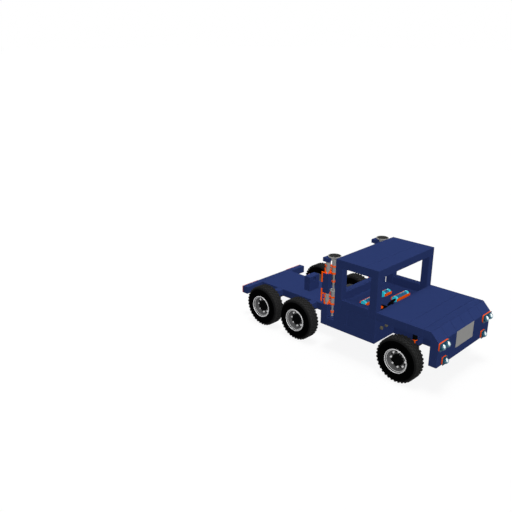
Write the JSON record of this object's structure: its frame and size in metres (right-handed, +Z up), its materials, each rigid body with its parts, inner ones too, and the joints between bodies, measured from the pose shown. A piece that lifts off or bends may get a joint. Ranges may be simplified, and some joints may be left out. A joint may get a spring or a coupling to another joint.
{
  "type": "toy semi truck tractor unit of building bricks",
  "caption": "Toy bonneted semi truck tractor built of smooth plastic bricks, open cab, exhaust stacks, flat deck with a coupling post, free-rolling wheels.",
  "frame": {"origin": "on the floor, on the centre line, half way between the front of the lamp lenses and the rear face of the tail lamps", "axes": "+Z up, -Y towards the nose, +X towards the truck's left side"},
  "size_m": [0.1106, 0.2446, 0.0976],
  "materials": {
    "navy_plastic": "smooth moulded dark blue brick plastic",
    "grey_plastic": "smooth moulded mid grey brick plastic",
    "black_plastic": "smooth moulded black plastic",
    "orange_plastic": "bright orange moulded plastic",
    "red_plastic": "clear red moulded plastic",
    "clear_plastic": "clear moulded plastic with a faint blue tint",
    "blue_clear_plastic": "clear light blue moulded plastic",
    "rim_silver": "silver coated moulded plastic",
    "tyre_rubber": "matt black rubber"
  },
  "bodies": {
    "truck": {"axle_blocks": "navy_plastic", "axles": "black_plastic", "back_sill": "navy_plastic", "back_wall": "navy_plastic", "cab_floor": "navy_plastic", "chassis_deck": "navy_plastic", "chassis_nose": "navy_plastic", "coupling_collar": "red_plastic", "coupling_post": "navy_plastic", "coupling_socket": "navy_plastic", "damper_stems": "orange_plastic", "engine_block": "navy_plastic", "fascia_beam": "navy_plastic", "fascia_wall": "navy_plastic", "firewall": "navy_plastic", "firewall_pegs": "grey_plastic", "front_dampers": "black_plastic", "grille": "grey_plastic", "hood_plates": "navy_plastic", "lamp_frames": "orange_plastic", "lamp_lenses": "clear_plastic", "light_rails": "orange_plastic", "light_tubes": "blue_clear_plastic", "nose_slopes": "navy_plastic", "pillars": "navy_plastic", "rear_beam": "navy_plastic", "roof_plates": "navy_plastic", "side_sills": "navy_plastic", "side_walls": "navy_plastic", "skirts": "navy_plastic", "stack_canisters": "grey_plastic", "stack_clips": "orange_plastic", "stack_columns": "navy_plastic", "stack_pipes": "grey_plastic", "steering_wheel": "black_plastic", "switch_box": "black_plastic", "switch_lever": "orange_plastic", "tail_lamps": "red_plastic"},
    "wheel_front_right": {"hub_gear_front_right": "black_plastic", "rim_front_right": "rim_silver", "tyre_front_right": "tyre_rubber"},
    "wheel_front_left": {"hub_gear_front_left": "black_plastic", "rim_front_left": "rim_silver", "tyre_front_left": "tyre_rubber"},
    "wheel_middle_right": {"hub_gear_middle_right": "black_plastic", "rim_middle_right": "rim_silver", "tyre_middle_right": "tyre_rubber"},
    "wheel_middle_left": {"hub_gear_middle_left": "black_plastic", "rim_middle_left": "rim_silver", "tyre_middle_left": "tyre_rubber"},
    "wheel_rear_right": {"hub_gear_rear_right": "black_plastic", "rim_rear_right": "rim_silver", "tyre_rear_right": "tyre_rubber"},
    "wheel_rear_left": {"hub_gear_rear_left": "black_plastic", "rim_rear_left": "rim_silver", "tyre_rear_left": "tyre_rubber"}
  },
  "joints": [
    {"name": "roll_front_right", "type": "hinge", "parent": "truck", "child": "wheel_front_right", "pos_m": [-0.048, -0.08165, 0.0216], "axis": [1, 0, 0], "continuous": true},
    {"name": "roll_front_left", "type": "hinge", "parent": "truck", "child": "wheel_front_left", "pos_m": [0.048, -0.08165, 0.0216], "axis": [1, 0, 0], "continuous": true},
    {"name": "roll_middle_right", "type": "hinge", "parent": "truck", "child": "wheel_middle_right", "pos_m": [-0.048, 0.03835, 0.0216], "axis": [1, 0, 0], "continuous": true},
    {"name": "roll_middle_left", "type": "hinge", "parent": "truck", "child": "wheel_middle_left", "pos_m": [0.048, 0.03835, 0.0216], "axis": [1, 0, 0], "continuous": true},
    {"name": "roll_rear_right", "type": "hinge", "parent": "truck", "child": "wheel_rear_right", "pos_m": [-0.048, 0.08635, 0.0216], "axis": [1, 0, 0], "continuous": true},
    {"name": "roll_rear_left", "type": "hinge", "parent": "truck", "child": "wheel_rear_left", "pos_m": [0.048, 0.08635, 0.0216], "axis": [1, 0, 0], "continuous": true}
  ]
}
